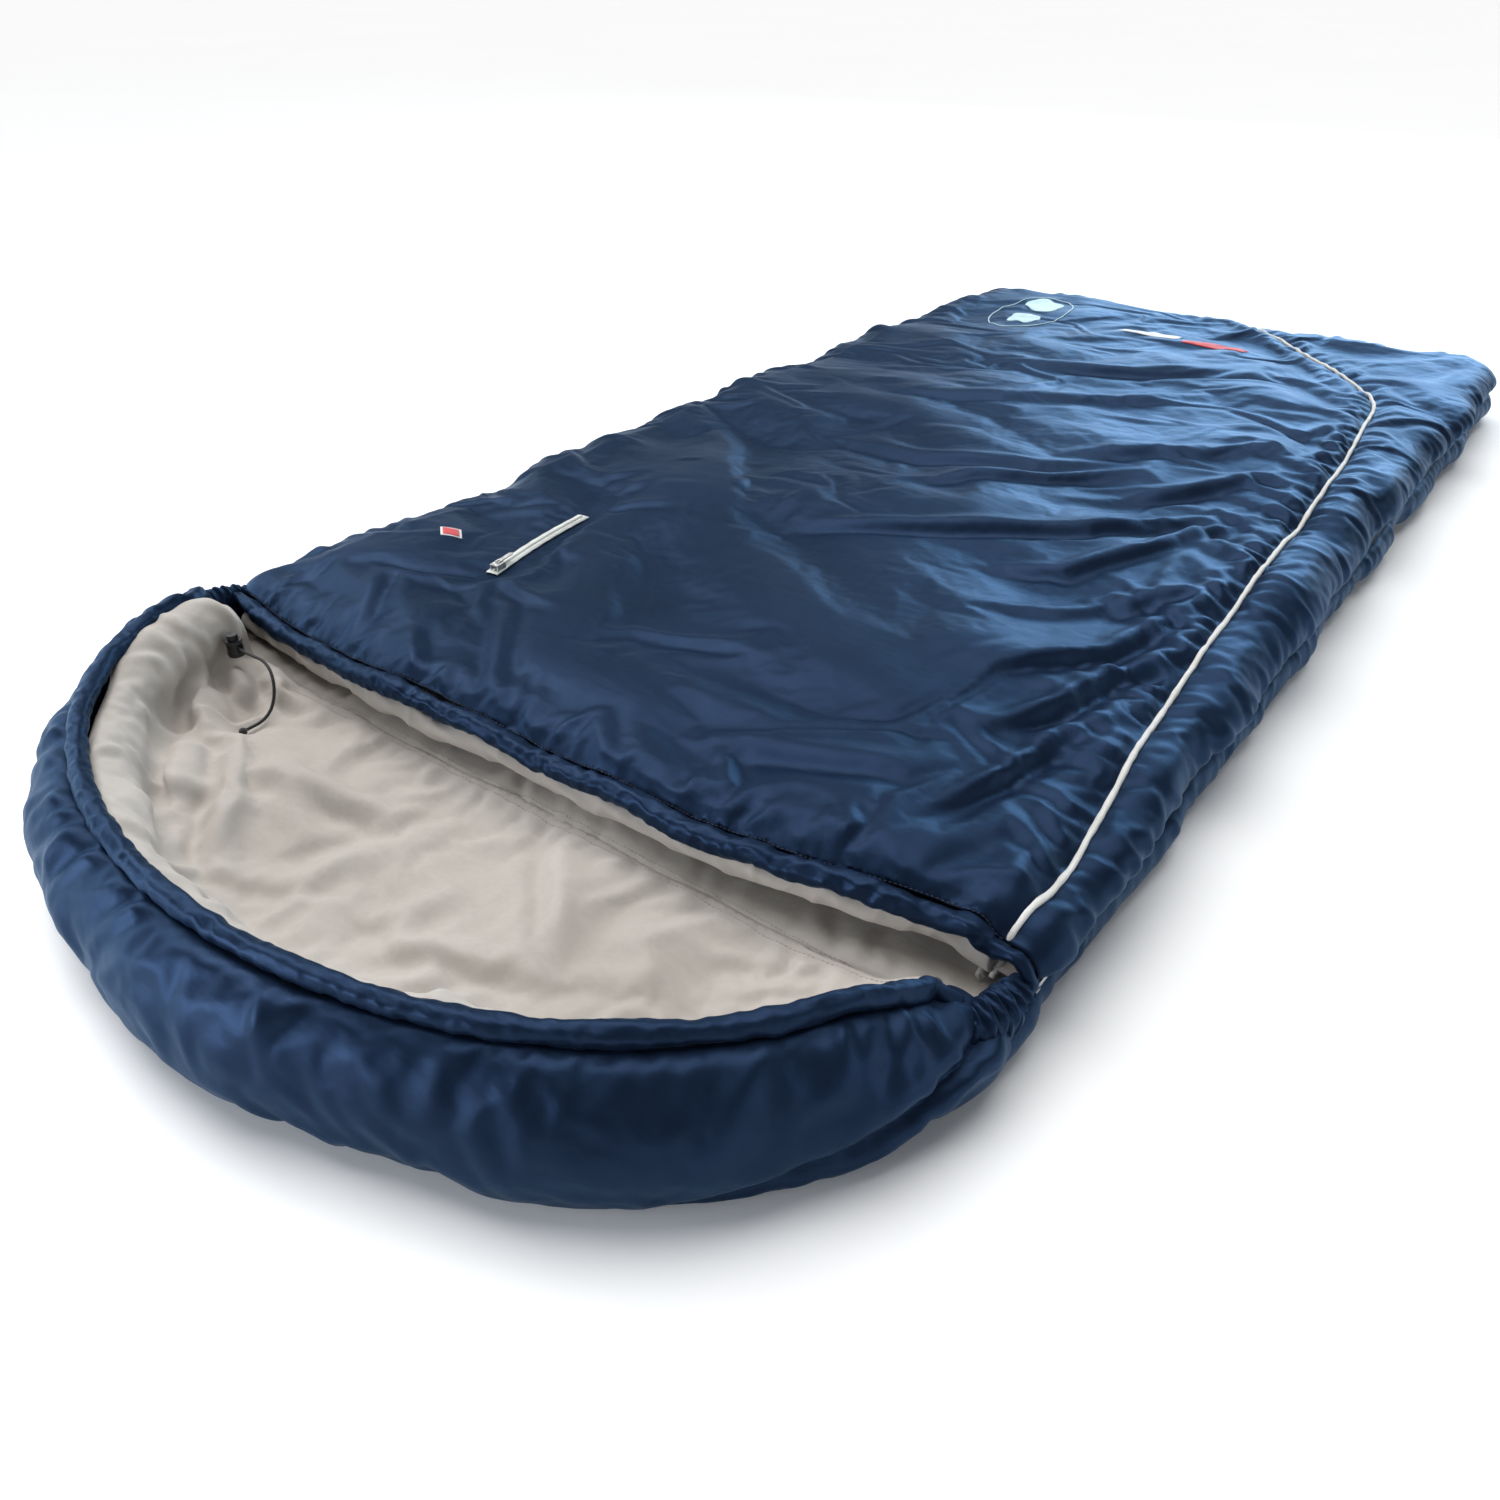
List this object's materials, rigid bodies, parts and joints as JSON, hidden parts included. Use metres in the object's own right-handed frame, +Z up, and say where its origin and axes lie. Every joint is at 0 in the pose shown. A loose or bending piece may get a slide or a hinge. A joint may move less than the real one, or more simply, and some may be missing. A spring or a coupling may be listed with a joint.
{
  "type": "hooded rectangular sleeping bag",
  "caption": "Wide rectangular sleeping bag with a drawcord hood, laid flat: padded bottom, opening cover, two-way zip, chest pocket and cord lock.",
  "frame": {"origin": "middle of the footprint on the floor", "axes": "+Z up, +Y towards the foot end, +X towards the zipped side"},
  "size_m": [0.95, 2.16, 0.1246],
  "materials": {
    "navy_nylon": "satin nylon",
    "white_padding": "matte",
    "beige_cotton": "matte cotton",
    "navy_zip_tape": "matte",
    "dark_nylon_teeth": "satin",
    "grey_metal": "satin",
    "pale_grey_trim": "satin",
    "white_print": "satin print",
    "red_trim": "satin",
    "pale_blue_print": "satin print",
    "black_cord": "matte",
    "black_plastic": "satin",
    "spring_steel": "bright"
  },
  "bodies": {
    "bottom": {"bottom_shell": "navy_nylon", "bottom_padding": "white_padding", "bottom_lining": "beige_cotton", "zip_draft_tube": "beige_cotton", "zip_garage": "beige_cotton", "zip_tape_lower": "navy_zip_tape", "zip_teeth_lower": "dark_nylon_teeth", "zip_neck_stop_lower": "grey_metal", "zip_foot_stop": "grey_metal"},
    "cover": {"cover_shell": "navy_nylon", "cover_padding": "white_padding", "cover_lining": "beige_cotton", "cover_hem_tunnel": "navy_nylon", "cover_piping": "pale_grey_trim", "cover_badge": "red_trim", "foot_bar_white": "white_print", "foot_bar_red": "red_trim", "foot_print": "pale_blue_print", "pocket_bag": "beige_cotton", "pocket_zip_tape": "pale_grey_trim", "pocket_zip_teeth": "pale_grey_trim", "zip_tape_upper": "navy_zip_tape", "zip_teeth_upper": "dark_nylon_teeth", "zip_neck_stop_upper": "grey_metal"},
    "hood": {"hood_shell": "navy_nylon", "hood_floor_padding": "white_padding", "hood_wall_padding": "white_padding", "hood_lining": "beige_cotton", "hood_rim_tunnel": "navy_nylon", "hood_drawcord": "black_cord", "drawcord_tail": "black_cord", "drawcord_anchor": "black_cord", "drawcord_knot": "black_cord"},
    "cord_lock": {"cord_lock_barrel": "black_plastic", "cord_lock_spring": "spring_steel"},
    "lock_button": {"cord_lock_button": "black_plastic"},
    "side_slider": {"side_zip_slider": "grey_metal"},
    "side_pull": {"side_zip_pull": "grey_metal"},
    "foot_slider": {"foot_zip_slider": "grey_metal"},
    "foot_pull": {"foot_zip_pull": "grey_metal"},
    "pocket_slider": {"pocket_zip_slider": "grey_metal"},
    "pocket_pull": {"pocket_zip_pull": "grey_metal"}
  },
  "joints": [
    {"name": "cover_opening", "type": "hinge", "parent": "bottom", "child": "cover", "pos_m": [-0.4765, 0, 0.05], "axis": [0, -1, 0], "range_deg": [0, 180]},
    {"name": "hood_lift", "type": "hinge", "parent": "bottom", "child": "hood", "pos_m": [0, -0.735, 0.0445], "axis": [-1, 0, 0], "range_deg": [0, 20]},
    {"name": "side_slider_travel", "type": "slide", "parent": "bottom", "child": "side_slider", "axis": [0, 1, 0], "range_m": [0, 1.66]},
    {"name": "side_pull_swing", "type": "hinge", "parent": "side_slider", "child": "side_pull", "pos_m": [0.4699, -0.686, 0.05], "axis": [0, 0, -1], "range_deg": [0, 170]},
    {"name": "foot_slider_travel", "type": "slide", "parent": "bottom", "child": "foot_slider", "axis": [1, 0, 0], "range_m": [0, 0.74]},
    {"name": "foot_pull_swing", "type": "hinge", "parent": "foot_slider", "child": "foot_pull", "pos_m": [-0.376, 1.0749, 0.05], "axis": [0, 0, 1], "range_deg": [0, 170]},
    {"name": "pocket_slider_travel", "type": "slide", "parent": "cover", "child": "pocket_slider", "axis": [-0.165, 0.9863, 0], "range_m": [0, 0.148]},
    {"name": "pocket_pull_swing", "type": "hinge", "parent": "pocket_slider", "child": "pocket_pull", "pos_m": [-0.25354, -0.51046, 0.109], "axis": [0.9863, 0.165, 0], "range_deg": [0, 170]},
    {"name": "cord_lock_travel", "type": "slide", "parent": "hood", "child": "cord_lock", "axis": [1, 0, 0], "range_m": [0, 0.04]},
    {"name": "cord_lock_press", "type": "slide", "parent": "cord_lock", "child": "lock_button", "axis": [0, 0, -1], "range_m": [0, 0.004], "stiffness_N_per_m": 400, "springref_m": -0.002, "deforming": ["cord_lock_spring"]}
  ]
}
